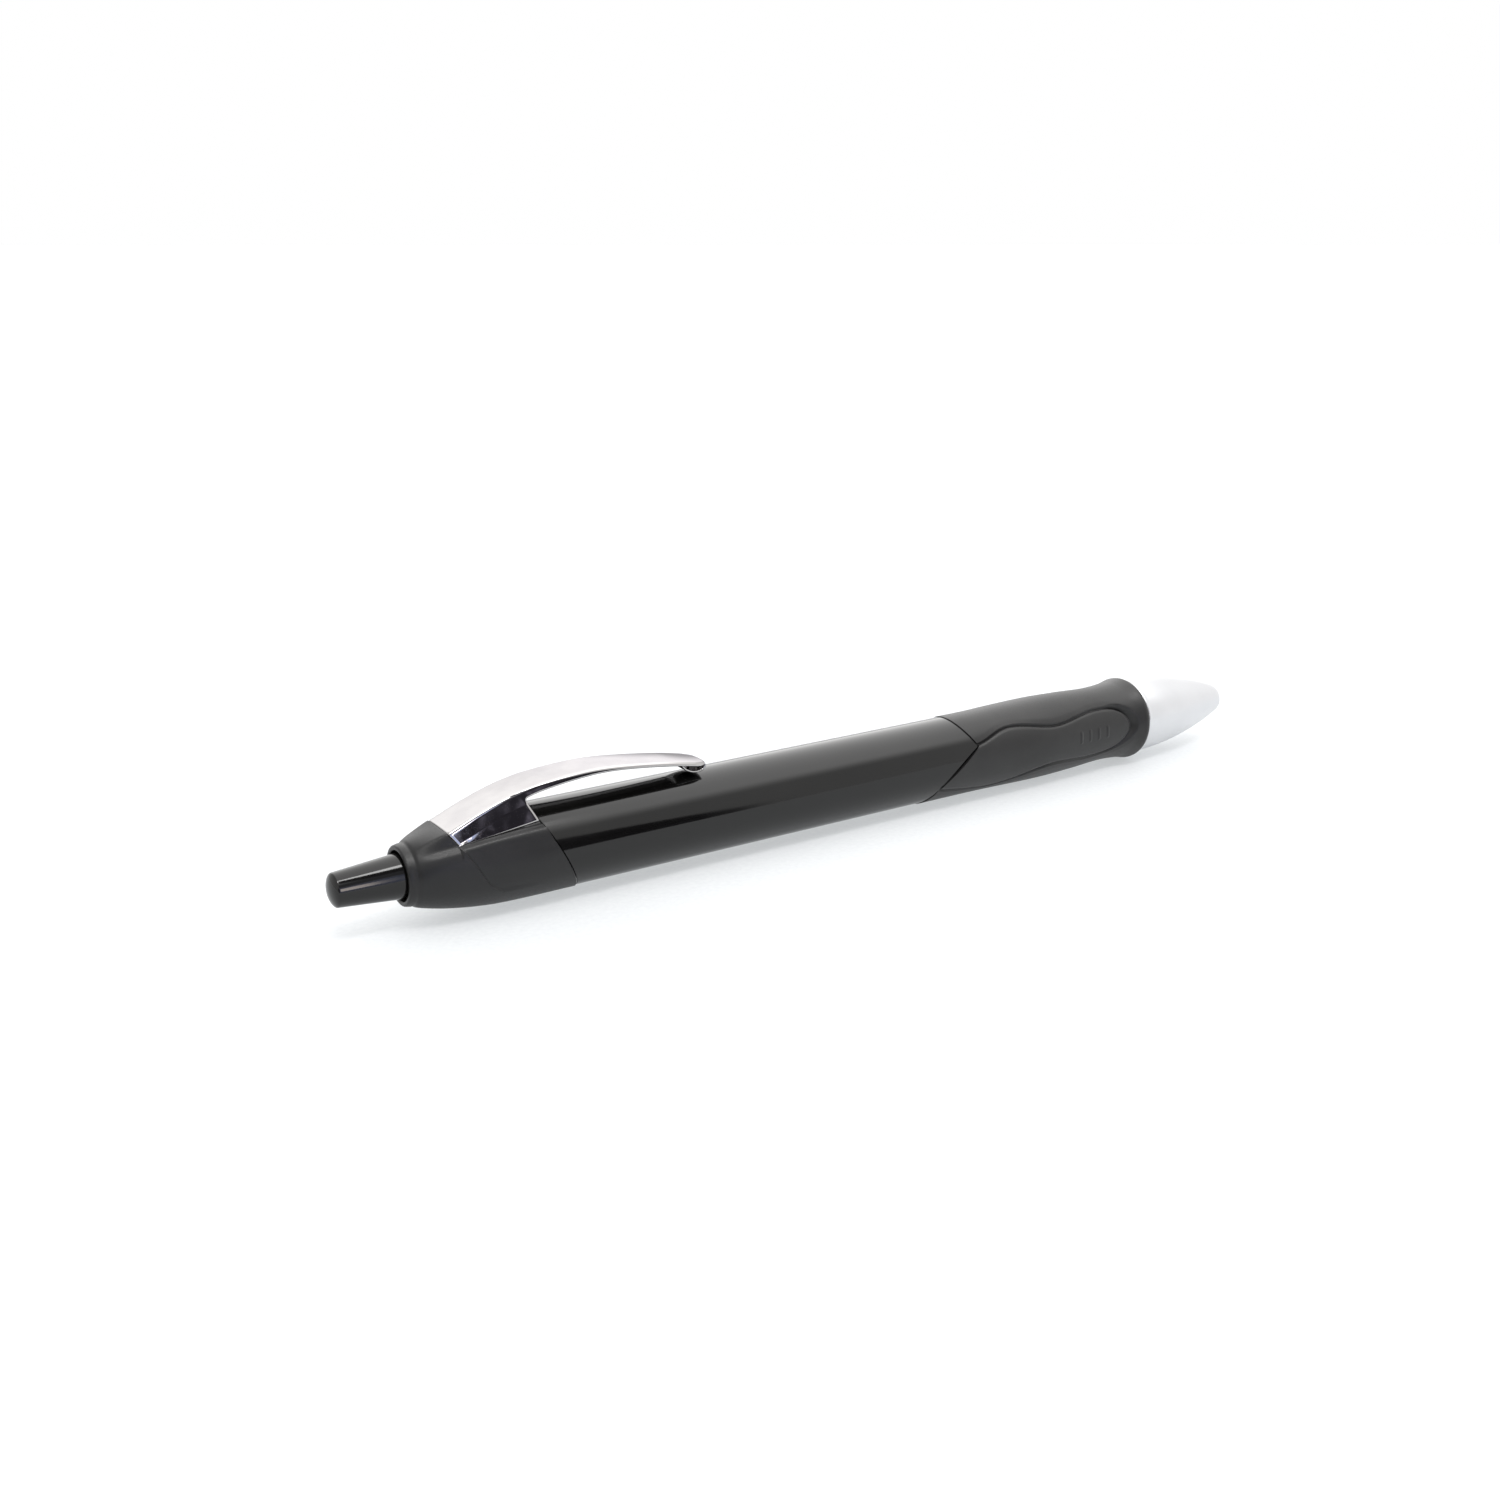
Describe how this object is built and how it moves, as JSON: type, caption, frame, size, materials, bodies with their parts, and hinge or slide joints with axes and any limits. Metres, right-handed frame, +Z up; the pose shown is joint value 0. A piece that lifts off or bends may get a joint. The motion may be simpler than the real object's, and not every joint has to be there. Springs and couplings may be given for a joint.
{
  "type": "retractable ballpoint pen",
  "caption": "Retractable ballpoint pen with a push button, arched metal pocket clip, contoured rubber grip with side pads, and a silver nose cone",
  "frame": {"origin": "centre of the pen's length and width, on the surface that the pen lies on", "axes": "+X from the push button to the writing end, +Z up through the clip, +Y to the pen's left"},
  "size_m": [0.1422, 0.0118, 0.015],
  "materials": {
    "gloss_black": "polished black moulded plastic",
    "satin_black": "satin black moulded plastic",
    "core_plastic": "plain black moulded plastic",
    "grip_rubber": "matt black soft rubber",
    "pad_rubber": "smooth black soft rubber",
    "chrome": "bright chrome plating on stamped spring steel",
    "satin_silver": "satin silver plating on moulded plastic",
    "white_plastic": "natural white acetal",
    "clear_plastic": "translucent polypropylene",
    "black_ink": "black paste ink",
    "brass": "bright turned brass",
    "spring_steel": "drawn spring wire",
    "carbide": "ground tungsten carbide"
  },
  "bodies": {
    "body": {"rear_cap": "satin_black", "cam_guide": "white_plastic", "barrel": "gloss_black", "grip_core": "core_plastic", "grip_sleeve": "grip_rubber", "grip_pad_left": "pad_rubber", "grip_pad_right": "pad_rubber", "thread_bush": "brass", "return_spring": "spring_steel"},
    "plunger": {"push_button": "gloss_black", "button_crown": "white_plastic"},
    "refill": {"refill_tail": "white_plastic", "refill_tube": "clear_plastic", "refill_ink": "black_ink", "refill_collar": "white_plastic", "refill_point": "brass", "writing_ball": "carbide"},
    "rotor": {"cam_rotor": "white_plastic"},
    "clip": {"clip": "chrome"},
    "nose": {"nose_cone": "satin_silver"}
  },
  "joints": [
    {"name": "button_slide", "type": "slide", "parent": "body", "child": "plunger", "axis": [1, 0, 0], "range_m": [0, 0.006], "stiffness_N_per_m": 300, "springref_m": -0.004, "deforming": ["return_spring"]},
    {"name": "refill_slide", "type": "slide", "parent": "body", "child": "refill", "axis": [1, 0, 0], "range_m": [0, 0.006]},
    {"name": "rotor_turn", "type": "hinge", "parent": "refill", "child": "rotor", "pos_m": [-0.0485, 0, 0.00595], "axis": [1, 0, 0], "range_deg": [0, 22.5]},
    {"name": "clip_flex", "type": "hinge", "parent": "body", "child": "clip", "pos_m": [-0.0575, 0, 0.01065], "axis": [0, -1, 0], "range_deg": [0, 4], "stiffness_Nm_per_rad": 2, "springref_deg": -1.15},
    {"name": "nose_slide", "type": "slide", "parent": "body", "child": "nose", "axis": [1, 0, 0], "range_m": [0, 0.012]}
  ],
  "couplings": [
    {"joint": "refill_slide", "follows": "button_slide", "ratio": 1},
    {"joint": "rotor_turn", "follows": "button_slide", "rad_per_m": 65.4}
  ]
}
